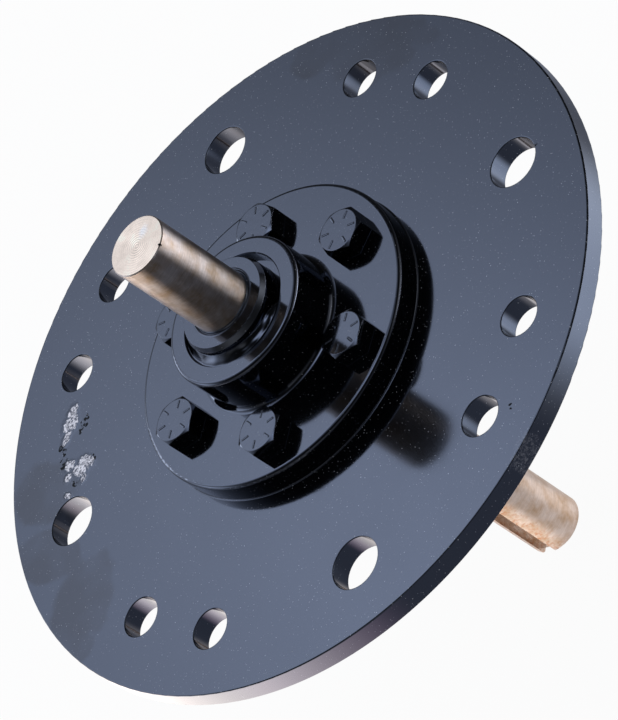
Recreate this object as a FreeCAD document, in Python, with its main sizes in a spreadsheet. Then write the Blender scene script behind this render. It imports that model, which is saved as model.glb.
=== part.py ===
import FreeCAD, Part
import Sketcher
import os
import re

# A thick drilled disc with a bolted bearing hub and a keyed shaft through it. The disc lies flat, with
# its rear face at height 0 and its centre on the Z axis. The bolt heads, the boss and the plain end of
# the shaft point up. The X axis passes midway between the two holes of one pair of small holes.

doc = FreeCAD.newDocument("DiscHub")
sheet = doc.addObject("Spreadsheet::Sheet", "Sizes")

# Lengths in millimetres, angles in degrees.
SIZES = (
    # the drilled disc: 12 in across, 3/8 in thick
    ("disc_diameter", 304.8),
    ("disc_thickness", 9.525),
    ("disc_edge_round", 0.6),
    ("large_hole_diameter", 22.225),
    ("large_hole_circle", 244.475),
    ("small_hole_diameter", 17.4625),
    ("small_hole_circle", 247.65),
    ("small_hole_spacing", 42.4),
    ("hole_edge_round", 0.4),
    # the hub casting: flange and boss in front of the disc, barrel through and behind it
    ("flange_diameter", 136.525),
    ("flange_thickness", 11.1125),
    ("flange_round", 1.7),
    ("boss_diameter", 67.2),
    ("boss_height", 33.3375),
    ("boss_round", 1.8),
    ("boss_fillet", 2.4),
    ("barrel_diameter", 69.85),
    ("barrel_reach", 45.0),
    ("barrel_chamfer", 1.5),
    ("barrel_clearance", 0.1),
    ("bore_chamfer", 0.5),
    ("cup_shoulder", 3.2),
    ("bolt_circle", 101.6),
    ("bolt_hole_diameter", 13.494),
    # hub bolts, nuts and lock washers: 1/2 in, with 3/4 in across the flats
    ("bolt_diameter", 12.7),
    ("bolt_length", 38.1),
    ("bolt_end_chamfer", 1.0),
    ("across_flats", 19.05),
    ("head_height", 7.9375),
    ("hex_bevel_slope", 30.0),
    ("hex_face_share", 0.98),
    ("mark_start", 5.0),
    ("mark_length", 3.4),
    ("mark_width", 0.7),
    ("mark_height", 0.25),
    ("nut_height", 11.1125),
    ("washer_thickness", 3.175),
    ("washer_diameter", 21.7),
    ("washer_split", 8.0),
    # the shaft: 1-1/16 in bright bar with an open keyway for a 1/4 in key at its rear end
    ("shaft_diameter", 26.9875),
    ("shaft_front_reach", 89.6),
    ("shaft_rear_reach", 166.9),
    ("front_end_chamfer", 0.45),
    ("rear_end_chamfer", 0.9),
    ("keyway_width", 6.35),
    ("keyway_depth", 3.175),
    ("keyway_length", 63.5),
    ("keyway_angle", -164.3),
    # the collars that hold the shaft endways
    ("collar_diameter", 42.8625),
    ("collar_entry", 3.175),
    ("front_collar_stand", 6.35),
    ("rear_collar_stand", 12.7),
    ("collar_bevel", 1.2),
    ("collar_bevel_height", 2.2),
    ("collar_bore_chamfer", 1.2),
    ("relief_depth", 0.3),
    ("relief_width", 1.6),
    ("relief_show", 0.4),
    ("screw_diameter", 7.9375),
    ("screw_sink", 0.8),
    ("screw_socket", 3.97),
    ("screw_socket_depth", 3.6),
    # the lip seals and the sleeves that they run on
    ("seal_recess", 3.8),
    ("seal_width", 6.35),
    ("seal_gap", 1.4),
    ("seal_case_wall", 1.0),
    ("seal_opening", 3.6),
    ("dust_lip_gap", 0.4),
    ("lip_clearance", 0.05),
    ("lip_thickness", 1.2),
    ("lip_root_depth", 1.9),
    ("lip_edge_depth", 4.3),
    ("lip_tail_depth", 5.7),
    ("spring_depth", 4.75),
    ("spring_wire", 1.1),
    ("sleeve_diameter", 31.75),
    # the taper roller bearings and the spacer tube between them
    ("cup_diameter", 50.292),
    ("bearing_width", 14.224),
    ("cup_width", 10.668),
    ("cone_width", 14.732),
    ("rib_height", 1.9),
    ("small_rib_height", 0.8),
    ("race_difference", 0.43975),
    ("roller_tilt", 12.2),
    ("roller_radius", 2.85),
    ("roller_gap", 1.3),
    ("roller_length", 9.6),
    ("roller_depth", 8.2),
    ("roller_clearance", 0.04),
    ("roller_end_play", 0.15),
    ("cage_offset", 0.5),
    ("cage_thickness", 0.9),
    ("cage_rim", 1.2),
    ("cage_clearance", 0.15),
    ("spacer_diameter", 33.0),
)

for row, (alias, number) in enumerate(SIZES, start=1):
    sheet.set(f"A{row}", alias)
    sheet.set(f"B{row}", str(number))
    sheet.setAlias(f"B{row}", alias)
doc.recompute()

# How far the wrench left each hub bolt's flats turned, in degrees, round the circle from +30 degrees.
BOLT_TURNS = (22.0, -4.0, 10.0, 12.0, 8.6, -5.4)
BOLT_COUNT = len(BOLT_TURNS)
FIRST_BOLT_ANGLE = 30.0
PAIR_COUNT = 4
SET_SCREW_COUNT = 2
SET_SCREW_SPREAD = 90.0

# Heights worked out from the sizes.
DISC_FRONT = "disc_thickness"
FLANGE_TOP = "(disc_thickness + flange_thickness)"
BOSS_FACE = "(disc_thickness + boss_height)"
BARREL_END = "(-barrel_reach)"
SHAFT_FRONT = "(disc_thickness + shaft_front_reach)"
SHAFT_REAR = "(-shaft_rear_reach)"
FRONT_COLLAR_FACE = f"({BOSS_FACE} + front_collar_stand)"
REAR_COLLAR_FACE = f"({BARREL_END} - rear_collar_stand)"

# Both ends of the hub hold the same stack. A place in it is a depth below the mouth of the bore.
ENDS = {"front": (BOSS_FACE, "-"), "rear": (BARREL_END, "+")}
SEAL_BACK = "(seal_recess + seal_width)"
CONE_BACK = "(seal_recess + seal_width + seal_gap)"
CONE_END = f"({CONE_BACK} + cone_width)"
CUP_SEAT = f"({CONE_BACK} + bearing_width)"
CUP_OPEN = f"({CUP_SEAT} - cup_width)"

# The two races share the room that the rollers leave between the shaft and the hub's bore, the cup's being
# the thicker. They and the rollers all point at one apex on the axis, so that they roll without sliding.
TILT = "(roller_tilt * 1deg)"
RACES = "(cup_diameter / 2 - shaft_diameter / 2 - 2 * roller_radius)"
PITCH_RADIUS = f"(shaft_diameter / 2 + ({RACES} - race_difference) / 2 + roller_radius)"
ROLLER_COUNT = f"floor(2 * pi * {PITCH_RADIUS} / (2 * roller_radius + roller_gap))"
ROLLER_SLOPE = f"(roller_radius * sin({TILT}) / {PITCH_RADIUS})"
CUP_SLOPE = f"((tan({TILT}) + {ROLLER_SLOPE}) / (1 - tan({TILT}) * {ROLLER_SLOPE}))"
APEX_DEPTH = f"({CONE_BACK} + roller_depth + {PITCH_RADIUS} / tan({TILT}))"


def sized(formula):
    """The sheet formula for one written with the plain names of the sizes."""
    return re.sub(r"\b[a-z]+(?:_[a-z]+)+\b", lambda word: "Sizes." + word.group(), formula)


def bind(thing, prop, formula):
    thing.setExpression(prop, sized(formula))


def at_depth(end, depth):
    """The height of a depth below the mouth of the hub's bore at one end."""
    mouth, inward = ENDS[end]
    return f"({mouth} {inward} ({depth}))"


def new_body(label):
    body = doc.addObject("PartDesign::Body", label)
    body.Label = label
    body.AllowCompound = True
    return body


def origin_part(body, role):
    return next(part for part in body.Origin.OriginFeatures if part.Role == role)


def sketch_on(body, name, role="XZ_Plane", lift=None):
    sketch = body.newObject("Sketcher::SketchObject", name)
    sketch.AttachmentSupport = [(origin_part(body, role), "")]
    sketch.MapMode = "FlatFace"
    if lift:
        bind(sketch, "AttachmentOffset.Base.z", lift)
    return sketch


def pin_point(sketch, piece, end, across, up):
    """Ties one point of a sketch to the two formulas of its place, or to an axis where one is 0."""
    for kind, axis, formula in (("DistanceX", -2, across), ("DistanceY", -1, up)):
        if formula == "0":
            sketch.addConstraint(Sketcher.Constraint("PointOnObject", piece, end, axis))
        else:
            number = sketch.addConstraint(Sketcher.Constraint(kind, -1, 1, piece, end, 1.0))
            bind(sketch, f"Constraints[{number}]", formula)


def outline(sketch, corners):
    """A closed outline of straight lines. The corners start anywhere, and their formulas place them."""
    first = sketch.GeometryCount
    count = len(corners)
    for step in range(count):
        here = FreeCAD.Vector(step + 1, step * step, 0)
        there = FreeCAD.Vector(step + 2, (step + 1) ** 2, 0)
        sketch.addGeometry(Part.LineSegment(here, there), False)
    for step in range(count):
        after = first + (step + 1) % count
        sketch.addConstraint(Sketcher.Constraint("Coincident", first + step, 2, after, 1))
    for step, (across, up) in enumerate(corners):
        pin_point(sketch, first + step, 1, across, up)


def circle(sketch, across, up, radius):
    piece = sketch.addGeometry(Part.Circle(FreeCAD.Vector(1, 1, 0), FreeCAD.Vector(0, 0, 1), 1), False)
    pin_point(sketch, piece, 3, across, up)
    number = sketch.addConstraint(Sketcher.Constraint("Radius", piece, 1.0))
    bind(sketch, f"Constraints[{number}]", radius)


def hexagon(sketch, flats):
    """A regular hexagon about the origin with one corner on the sketch's first axis."""
    corner = f"({flats} / sqrt(3))"
    half = f"({flats} / (2 * sqrt(3)))"
    side = f"({flats} / 2)"
    outline(sketch, ((corner, "0"), (half, side), (f"-{half}", side),
                     (f"-{corner}", "0"), (f"-{half}", f"-{side}"), (half, f"-{side}")))


def extrude(body, kind, sketch, length=None, flip=False):
    """Pads or pockets a sketch, by a length or through everything, and checks that it did something."""
    before = body.Shape.Volume if body.Shape.Solids else 0.0
    feature = body.newObject("PartDesign::" + kind, f"{sketch.Name}_{kind.lower()}")
    feature.Profile = sketch
    feature.Reversed = flip
    if length:
        bind(feature, "Length", length)
    else:
        feature.Type = "ThroughAll"
    doc.recompute()
    grew = feature.Shape.Volume - before
    if (kind == "Pad") != (grew > 0) or abs(grew) < 1e-6:
        raise RuntimeError(f"{feature.Name} points the wrong way")
    return feature


def spin(body, kind, sketch, axis="V_Axis", angle="360"):
    """Turns a sketch about its vertical axis, or about one of its own lines, as material or as a cut."""
    before = body.Shape.Volume if body.Shape.Solids else 0.0
    feature = body.newObject("PartDesign::" + kind, f"{sketch.Name}_{kind.lower()}")
    feature.Profile = sketch
    feature.ReferenceAxis = (sketch, [axis])
    bind(feature, "Angle", angle)
    doc.recompute()
    grew = feature.Shape.Volume - before
    if (kind == "Revolution") != (grew > 0) or abs(grew) < 1e-6:
        raise RuntimeError(f"{feature.Name} points the wrong way")
    return feature


def repeat(body, features, count, spread="360"):
    """Repeats features round the Z axis of their body."""
    pattern = body.newObject("PartDesign::PolarPattern", f"{features[0].Name}_round")
    pattern.Originals = features
    pattern.Axis = (origin_part(body, "Z_Axis"), [""])
    bind(pattern, "Angle", spread)
    bind(pattern, "Occurrences", count)
    body.Tip = pattern
    doc.recompute()
    return pattern


def circle_edges(shape, wanted):
    """The names of the shape's full circles whose radius and height the test accepts."""
    names = []
    for number, edge in enumerate(shape.Edges, start=1):
        if edge.Curve.TypeId == "Part::GeomCircle" and wanted(edge.Curve.Radius, edge.Curve.Center.z):
            names.append(f"Edge{number}")
    return names


def dress_edges(body, kind, names, prop, formula):
    feature = body.newObject("PartDesign::" + kind, f"{body.Name}_{kind.lower()}")
    feature.Base = (body.Tip if feature.BaseFeature is None else feature.BaseFeature, names)
    bind(feature, prop, formula)
    doc.recompute()
    return feature


def dress_corners(body, profile, kind, prop, corners, formula):
    """Rounds or bevels the circles that the numbered corners of a turned profile sweep."""
    places = [profile.Geometry[corner].StartPoint for corner in corners]

    def swept(radius, height):
        return any(abs(radius - place.x) < 1e-4 and abs(height - place.y) < 1e-4 for place in places)

    dress_edges(body, kind, circle_edges(body.Shape, swept), prop, formula)


def turned(label, corners, fillets=(), chamfers=()):
    """A body turned about Z from an outline of radii and heights, with its numbered corners dressed."""
    body = new_body(label)
    profile = sketch_on(body, label + "_profile")
    outline(profile, corners)
    spin(body, "Revolution", profile)
    for corner_numbers, radius in fillets:
        dress_corners(body, profile, "Fillet", "Radius", corner_numbers, radius)
    for corner_numbers, bevel in chamfers:
        dress_corners(body, profile, "Chamfer", "Size", corner_numbers, bevel)
    return body


def drilled_disc():
    """The flat disc, cut from plate, with a centre bore and four large and eight small mounting holes."""
    bore = "(barrel_diameter / 2 + barrel_clearance)"
    rim = "(disc_diameter / 2)"
    corners = ((bore, "0"), (rim, "0"), (rim, DISC_FRONT), (bore, DISC_FRONT))
    body = turned("drilled_disc", corners, fillets=(((1, 2), "disc_edge_round"),))

    large = sketch_on(body, "large_holes", "XY_Plane")
    diagonal = "(large_hole_circle / 2 * sqrt(0.5))"
    circle(large, diagonal, diagonal, "large_hole_diameter / 2")
    repeat(body, [extrude(body, "Pocket", large, flip=True)], str(PAIR_COUNT))

    small = sketch_on(body, "small_holes", "XY_Plane")
    out = "sqrt(small_hole_circle ^ 2 - small_hole_spacing ^ 2) / 2"
    circle(small, out, "small_hole_spacing / 2", "small_hole_diameter / 2")
    circle(small, out, "-small_hole_spacing / 2", "small_hole_diameter / 2")
    repeat(body, [extrude(body, "Pocket", small, flip=True)], str(PAIR_COUNT))

    through = sketch_on(body, "hub_bolt_holes", "XY_Plane")
    bolt_hole(through)
    repeat(body, [extrude(body, "Pocket", through, flip=True)], str(BOLT_COUNT))

    radii = [sheet.get("large_hole_diameter") / 2, sheet.get("small_hole_diameter") / 2]
    rims = circle_edges(body.Shape, lambda radius, height: min(abs(radius - r) for r in radii) < 1e-4)
    dress_edges(body, "Fillet", rims, "Radius", "hole_edge_round")
    return body


def bolt_hole(sketch):
    """One of the holes that the hub bolts pass through, at the first bolt's place."""
    angle = f"{FIRST_BOLT_ANGLE} * 1deg"
    circle(sketch, f"bolt_circle / 2 * cos({angle})", f"bolt_circle / 2 * sin({angle})",
           "bolt_hole_diameter / 2")


def hub_casting():
    """One casting: a round flange and boss in front of the disc, and a bored barrel through it."""
    bore = "(cup_diameter / 2)"
    shoulder = "(cup_diameter / 2 - cup_shoulder)"
    corners = (
        (bore, BOSS_FACE), ("boss_diameter / 2", BOSS_FACE), ("boss_diameter / 2", FLANGE_TOP),
        ("flange_diameter / 2", FLANGE_TOP), ("flange_diameter / 2", DISC_FRONT),
        ("barrel_diameter / 2", DISC_FRONT), ("barrel_diameter / 2", BARREL_END), (bore, BARREL_END),
        (bore, at_depth("rear", CUP_SEAT)), (shoulder, at_depth("rear", CUP_SEAT)),
        (shoulder, at_depth("front", CUP_SEAT)), (bore, at_depth("front", CUP_SEAT)))
    body = turned("hub_casting", corners,
                  fillets=(((1,), "boss_round"), ((2,), "boss_fillet"), ((3,), "flange_round")),
                  chamfers=(((0, 7), "bore_chamfer"), ((6,), "barrel_chamfer")))
    holes = sketch_on(body, "flange_holes", "XY_Plane")
    bolt_hole(holes)
    repeat(body, [extrude(body, "Pocket", holes, flip=True)], str(BOLT_COUNT))
    return body


def drive_shaft():
    """Round bar with a keyway milled in from the rear end by an end mill. A shallow relief is turned in it
    at the face of each collar, so that what slides on over an end seats square."""
    radius = "(shaft_diameter / 2)"
    relief = "(shaft_diameter / 2 - relief_depth)"
    corners = [("0", SHAFT_REAR), (radius, SHAFT_REAR)]
    for low, high in ((f"({REAR_COLLAR_FACE} - relief_show)",
                       f"({REAR_COLLAR_FACE} - relief_show + relief_width)"),
                      (f"({FRONT_COLLAR_FACE} + relief_show - relief_width)",
                       f"({FRONT_COLLAR_FACE} + relief_show)")):
        corners += [(radius, low), (relief, low), (relief, high), (radius, high)]
    corners += [(radius, SHAFT_FRONT), ("0", SHAFT_FRONT)]
    body = turned("drive_shaft", corners, chamfers=(((1,), "rear_end_chamfer"),
                                                    ((len(corners) - 2,), "front_end_chamfer")))
    floor = "(shaft_diameter / 2 - keyway_depth)"
    half = "(keyway_width / 2)"
    tip = f"({SHAFT_REAR} + keyway_length - keyway_width / 2)"
    mouth = f"({SHAFT_REAR} - keyway_width)"
    slot = sketch_on(body, "keyway", "YZ_Plane", floor)
    outline(slot, ((f"-{half}", mouth), (half, mouth), (half, tip), (f"-{half}", tip)))
    extrude(body, "Pocket", slot, flip=True)
    round_end = sketch_on(body, "keyway_end", "YZ_Plane", floor)
    circle(round_end, "0", tip, half)
    extrude(body, "Pocket", round_end, flip=True)
    body.Placement = FreeCAD.Placement(FreeCAD.Vector(), FreeCAD.Rotation(FreeCAD.Vector(0, 0, 1), 1))
    bind(body, "Placement.Rotation.Angle", "keyway_angle * 1deg")
    return body


def front_collar():
    """The bevelled collar shrunk on the shaft in the mouth of the boss."""
    outside = "(collar_diameter / 2)"
    top = FRONT_COLLAR_FACE
    corners = (
        ("shaft_diameter / 2", at_depth("front", "collar_entry")),
        (outside, at_depth("front", "collar_entry")),
        (outside, f"({top} - collar_bevel_height)"), (f"({outside} - collar_bevel)", top),
        ("(shaft_diameter / 2 + collar_bore_chamfer)", top),
        ("shaft_diameter / 2", f"({top} - collar_bore_chamfer)"))
    return turned("front_collar", corners)


def rear_collar():
    """The wider collar at the rear end, drilled and tapped for two set screws."""
    outside = "(collar_diameter / 2)"
    corners = (
        ("shaft_diameter / 2", at_depth("rear", "collar_entry")),
        (outside, at_depth("rear", "collar_entry")), (outside, REAR_COLLAR_FACE),
        ("shaft_diameter / 2", REAR_COLLAR_FACE))
    body = turned("rear_collar", corners, chamfers=(((2,), "collar_bevel"),))
    tapped = sketch_on(body, "screw_holes", "YZ_Plane")
    circle(tapped, "0", screw_height(), "screw_diameter / 2")
    repeat(body, [extrude(body, "Pocket", tapped, flip=True)], str(SET_SCREW_COUNT),
           str(SET_SCREW_SPREAD))
    return body


def screw_height():
    """The set screws stand in the middle of what shows of the rear collar."""
    return f"({REAR_COLLAR_FACE} + rear_collar_stand / 2)"


def rear_collar_screws():
    """Two socket set screws that bear on the shaft through the rear collar."""
    body = new_body("rear_collar_screws")
    end = sketch_on(body, "screw_end", "YZ_Plane", "shaft_diameter / 2")
    circle(end, "0", screw_height(), "screw_diameter / 2")
    length = "(collar_diameter / 2 - screw_sink - shaft_diameter / 2)"
    shank = extrude(body, "Pad", end, length)
    socket = sketch_on(body, "screw_socket", "YZ_Plane", "collar_diameter / 2 - screw_sink")
    middle = screw_height()
    corner = "(screw_socket / sqrt(3))"
    half = "(screw_socket / (2 * sqrt(3)))"
    side = "(screw_socket / 2)"
    outline(socket, ((corner, middle), (half, f"({middle} + {side})"), (f"-{half}", f"({middle} + {side})"),
                     (f"-{corner}", middle), (f"-{half}", f"({middle} - {side})"),
                     (half, f"({middle} - {side})")))
    recess = extrude(body, "Pocket", socket, "screw_socket_depth")
    repeat(body, [shank, recess], str(SET_SCREW_COUNT), str(SET_SCREW_SPREAD))
    return body


def ring(end, label, inside, outside, top, bottom):
    """A plain ring of the stack at one end, between two depths."""
    corners = ((inside, at_depth(end, top)), (outside, at_depth(end, top)),
               (outside, at_depth(end, bottom)), (inside, at_depth(end, bottom)))
    return turned(f"{end}_{label}", corners)


def seal_sleeve(end):
    """The hard sleeve that the seal runs on. It also passes the collar's push to the bearing cone."""
    return ring(end, "seal_sleeve", "shaft_diameter / 2", "sleeve_diameter / 2", "collar_entry", CONE_BACK)


def seal_case(end):
    """The pressed steel case of the lip seal: a wall against the bore and a face with a round opening."""
    outside = "(cup_diameter / 2)"
    opening = "(sleeve_diameter / 2 + seal_opening)"
    face = at_depth(end, "seal_recess")
    back = at_depth(end, SEAL_BACK)
    inner = at_depth(end, "seal_recess + seal_case_wall")
    corners = ((opening, face), (outside, face), (outside, back), (f"({outside} - seal_case_wall)", back),
               (f"({outside} - seal_case_wall)", inner), (opening, inner))
    return turned(f"{end}_seal_case", corners)


def seal_lip(end):
    """The rubber bonded in the case: a dust lip at its face and a sealing lip behind it."""
    sleeve = "sleeve_diameter / 2"
    opening = f"({sleeve} + seal_opening)"
    root = "seal_recess + lip_root_depth"
    tail = "seal_recess + lip_tail_depth"

    def point(out, depth):
        return (f"({sleeve} + {out})", at_depth(end, depth))

    corners = ((opening, at_depth(end, "seal_recess")), point("dust_lip_gap", "seal_recess"),
               point("dust_lip_gap", "seal_recess + lip_thickness"), point("lip_thickness", root),
               point("lip_clearance", "seal_recess + lip_edge_depth"), point("lip_thickness", tail),
               point("2 * lip_thickness", tail), point("2 * lip_thickness", root),
               (opening, at_depth(end, root)))
    return turned(f"{end}_seal_lip", corners)


def seal_spring(end):
    """The garter spring round the sealing lip, as a plain ring."""
    spring = doc.addObject("Part::Torus", f"{end}_seal_spring")
    spring.Label = spring.Name
    bind(spring, "Radius1", "sleeve_diameter / 2 + 2 * lip_thickness + spring_wire / 2")
    bind(spring, "Radius2", "spring_wire / 2")
    bind(spring, "Placement.Base.z", at_depth(end, "seal_recess + spring_depth"))
    return spring


def roller_radius_at(along):
    return f"(roller_radius + ({along}) * {ROLLER_SLOPE})"


def beside_roller(end, along, across):
    """A point given along a roller from its middle, towards its thick end, and across from its axis."""
    radius = f"({PITCH_RADIUS} + ({along}) * sin({TILT}) + ({across}) * cos({TILT}))"
    depth = f"{CONE_BACK} + roller_depth - ({along}) * cos({TILT}) + ({across}) * sin({TILT})"
    return (radius, at_depth(end, depth))


def bearing_rollers(end):
    """The tapered rollers, each a separate solid."""
    body = new_body(f"{end}_bearing_rollers")
    profile = sketch_on(body, f"{end}_roller_profile")
    tail = "-roller_length / 2"
    head = "roller_length / 2"
    outline(profile, (beside_roller(end, tail, "0"), beside_roller(end, head, "0"),
                      beside_roller(end, head, roller_radius_at(head)),
                      beside_roller(end, tail, roller_radius_at(tail))))
    repeat(body, [spin(body, "Revolution", profile, "Edge1")], ROLLER_COUNT)
    return body


def bearing_cage(end):
    """The pressed steel cage: a tapered shell between the races with a pocket for each roller."""
    body = new_body(f"{end}_bearing_cage")
    shell = sketch_on(body, f"{end}_cage_shell")
    tail = "-(roller_length / 2 + cage_clearance + cage_rim)"
    head = "(roller_length / 2 + cage_clearance + cage_rim)"
    low = "(cage_offset - cage_thickness / 2)"
    high = "(cage_offset + cage_thickness / 2)"
    outline(shell, (beside_roller(end, tail, low), beside_roller(end, head, low),
                    beside_roller(end, head, high), beside_roller(end, tail, high)))
    spin(body, "Revolution", shell)
    pocket = sketch_on(body, f"{end}_cage_pocket")
    tail = "-(roller_length / 2 + cage_clearance)"
    head = "(roller_length / 2 + cage_clearance)"
    outline(pocket, (beside_roller(end, tail, "0"), beside_roller(end, head, "0"),
                     beside_roller(end, head, f"({roller_radius_at(head)} + cage_clearance)"),
                     beside_roller(end, tail, f"({roller_radius_at(tail)} + cage_clearance)")))
    repeat(body, [spin(body, "Groove", pocket, "Edge1")], ROLLER_COUNT)
    return body


def bearing_cone(end):
    """The inner race, with a high rib behind the rollers' thick ends and a low one at their thin ends."""
    bore = "(shaft_diameter / 2)"
    head = "(roller_length / 2 + roller_end_play)"
    tail = f"-{head}"
    race_head = f"-({roller_radius_at(head)} + roller_clearance)"
    race_tail = f"-({roller_radius_at(tail)} + roller_clearance)"
    rib = beside_roller(end, head, f"({race_head} + rib_height)")
    small_rib = beside_roller(end, tail, f"({race_tail} + small_rib_height)")
    corners = ((bore, at_depth(end, CONE_BACK)), (rib[0], at_depth(end, CONE_BACK)), rib,
               beside_roller(end, head, race_head), beside_roller(end, tail, race_tail), small_rib,
               (small_rib[0], at_depth(end, CONE_END)), (bore, at_depth(end, CONE_END)))
    return turned(f"{end}_bearing_cone", corners)


def bearing_cup(end):
    """The outer race, pressed in against the hub's shoulder."""
    outside = "(cup_diameter / 2)"

    def race(depth):
        return f"(({APEX_DEPTH} - {depth}) * {CUP_SLOPE} + roller_clearance)"

    corners = ((race(CUP_OPEN), at_depth(end, CUP_OPEN)), (outside, at_depth(end, CUP_OPEN)),
               (outside, at_depth(end, CUP_SEAT)), (race(CUP_SEAT), at_depth(end, CUP_SEAT)))
    return turned(f"{end}_bearing_cup", corners)


def bearing_spacer():
    """The tube between the two cones, which sets how freely the bearings run."""
    bore = "shaft_diameter / 2"
    outside = "spacer_diameter / 2"
    top = at_depth("front", CONE_END)
    foot = at_depth("rear", CONE_END)
    return turned("bearing_spacer", ((bore, top), (outside, top), (outside, foot), (bore, foot)))


def bevel_hexagon(body, name, top, lower=False):
    """Turns the corners of a hexagon down to a round face, at its top or at the foot of a nut."""
    face = "(across_flats / 2 * hex_face_share)"
    past = "(across_flats / sqrt(3) + 1)"
    drop = f"(({past} - {face}) * tan(hex_bevel_slope * 1deg))"
    edge = f"({top} + {drop})" if lower else f"({top} - {drop})"
    cut = sketch_on(body, name)
    outline(cut, ((face, top), (past, top), (past, edge)))
    return spin(body, "Groove", cut)


def at_bolt(body, number, height):
    """Stands a body made about the origin at the place of one hub bolt."""
    angle = f"({FIRST_BOLT_ANGLE} + {number} * 360 / {BOLT_COUNT}) * 1deg"
    turn = FreeCAD.Rotation(FreeCAD.Vector(0, 0, 1), BOLT_TURNS[number])
    body.Placement = FreeCAD.Placement(FreeCAD.Vector(), turn)
    bind(body, "Placement.Base.x", f"bolt_circle / 2 * cos({angle})")
    bind(body, "Placement.Base.y", f"bolt_circle / 2 * sin({angle})")
    bind(body, "Placement.Base.z", height)


def hub_bolt(number):
    """A hexagon bolt with six raised grade marks on its head, seated on the flange."""
    body = new_body(f"hub_bolt_{number + 1}")
    head = sketch_on(body, f"bolt_head_{number + 1}", "XY_Plane")
    hexagon(head, "across_flats")
    extrude(body, "Pad", head, "head_height")
    bevel_hexagon(body, f"head_bevel_{number + 1}", "head_height")
    shank = sketch_on(body, f"bolt_shank_{number + 1}", "XY_Plane")
    circle(shank, "0", "0", "bolt_diameter / 2")
    extrude(body, "Pad", shank, "bolt_length", flip=True)
    foot = -sheet.get("bolt_length")
    edges = circle_edges(body.Shape, lambda radius, height: abs(height - foot) < 1e-4)
    dress_edges(body, "Chamfer", edges, "Size", "bolt_end_chamfer")
    mark = sketch_on(body, f"grade_mark_{number + 1}", "XY_Plane", "head_height")
    half = "(mark_width / 2)"
    end = "(mark_start + mark_length)"
    outline(mark, (("mark_start", f"-{half}"), (end, f"-{half}"), (end, half), ("mark_start", half)))
    repeat(body, [extrude(body, "Pad", mark, "mark_height")], "6")
    at_bolt(body, number, FLANGE_TOP)
    return body


def hub_nut(number):
    """A plain hexagon nut behind the disc."""
    body = new_body(f"hub_nut_{number + 1}")
    blank = sketch_on(body, f"nut_blank_{number + 1}", "XY_Plane")
    hexagon(blank, "across_flats")
    circle(blank, "0", "0", "bolt_diameter / 2")
    extrude(body, "Pad", blank, "nut_height")
    bevel_hexagon(body, f"nut_top_{number + 1}", "nut_height")
    bevel_hexagon(body, f"nut_foot_{number + 1}", "0", lower=True)
    at_bolt(body, number, "-(washer_thickness + nut_height)")
    return body


def hub_lock_washer(number):
    """A split spring washer, pressed flat under the nut."""
    body = new_body(f"hub_lock_washer_{number + 1}")
    section = sketch_on(body, f"washer_section_{number + 1}")
    bore = "bolt_diameter / 2"
    rim = "washer_diameter / 2"
    outline(section, ((bore, "0"), (rim, "0"), (rim, "washer_thickness"), (bore, "washer_thickness")))
    spin(body, "Revolution", section, angle="360 - washer_split")
    at_bolt(body, number, "-washer_thickness")
    return body


def fastener_set(label, make_one):
    """Six like fasteners round the bolt circle, as one group of separate solids."""
    group = doc.addObject("Part::Compound", label)
    group.Label = label
    group.Links = [make_one(number) for number in range(BOLT_COUNT)]
    return group


subparts = [drilled_disc(), hub_casting(), drive_shaft(), front_collar(), rear_collar(),
            rear_collar_screws(), bearing_spacer()]
for side in ENDS:
    subparts += [seal_sleeve(side), seal_case(side), seal_lip(side), seal_spring(side),
                 bearing_cone(side), bearing_cup(side), bearing_rollers(side), bearing_cage(side)]
subparts += [fastener_set("hub_bolts", hub_bolt), fastener_set("hub_nuts", hub_nut),
             fastener_set("hub_lock_washers", hub_lock_washer)]
doc.recompute()

for thing in doc.Objects:
    if "Invalid" in thing.State or "Error" in thing.State:
        raise RuntimeError(f"{thing.Name} was not built: {thing.State}")
for subpart in subparts:
    if subpart.Shape.isNull() or not subpart.Shape.Solids or not subpart.Shape.isValid():
        raise RuntimeError(f"{subpart.Label} has no valid shape")

os.makedirs("parts", exist_ok=True)
for subpart in subparts:
    subpart.Shape.exportStep(f"parts/{subpart.Label}.step")
    print(subpart.Label, len(subpart.Shape.Solids), round(subpart.Shape.Volume, 1))
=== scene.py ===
"""A drilled coulter disc on its bearing hub, painted gloss black, with a bare steel shaft through it."""
import math
import bpy
import numpy as np
from mathutils import Matrix, Vector


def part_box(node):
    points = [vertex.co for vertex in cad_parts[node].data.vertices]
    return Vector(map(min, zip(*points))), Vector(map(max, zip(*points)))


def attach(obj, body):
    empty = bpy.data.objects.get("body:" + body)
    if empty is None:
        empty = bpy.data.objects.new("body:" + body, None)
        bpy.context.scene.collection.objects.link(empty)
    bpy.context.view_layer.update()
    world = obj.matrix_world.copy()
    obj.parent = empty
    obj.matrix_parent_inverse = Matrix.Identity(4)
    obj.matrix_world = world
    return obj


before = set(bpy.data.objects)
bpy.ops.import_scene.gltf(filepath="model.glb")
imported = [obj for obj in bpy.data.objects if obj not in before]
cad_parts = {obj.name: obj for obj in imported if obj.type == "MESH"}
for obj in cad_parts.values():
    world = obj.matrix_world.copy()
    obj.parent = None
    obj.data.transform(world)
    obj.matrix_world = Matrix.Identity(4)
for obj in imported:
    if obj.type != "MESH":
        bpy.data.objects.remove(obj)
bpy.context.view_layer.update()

# The disc. A 3/8 in steel plate, cut and drilled, and bolted up behind the hub's flange. It was sprayed with
# gloss black enamel on both faces and in every hole. The paint lies a little wavy and has dust in it, dull
# clouds near the rim and a few chips.

MM = 0.001
ENAMEL_BLACK = "#020203"
ENAMEL_GLOSS_TINT = "#DCE7FF"
ENAMEL_IOR = 2.0
PLATE_ROUGHNESS = 0.08
# The paint rounds every edge by this much, in millimetres.
ENAMEL_EDGE = 0.3
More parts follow.
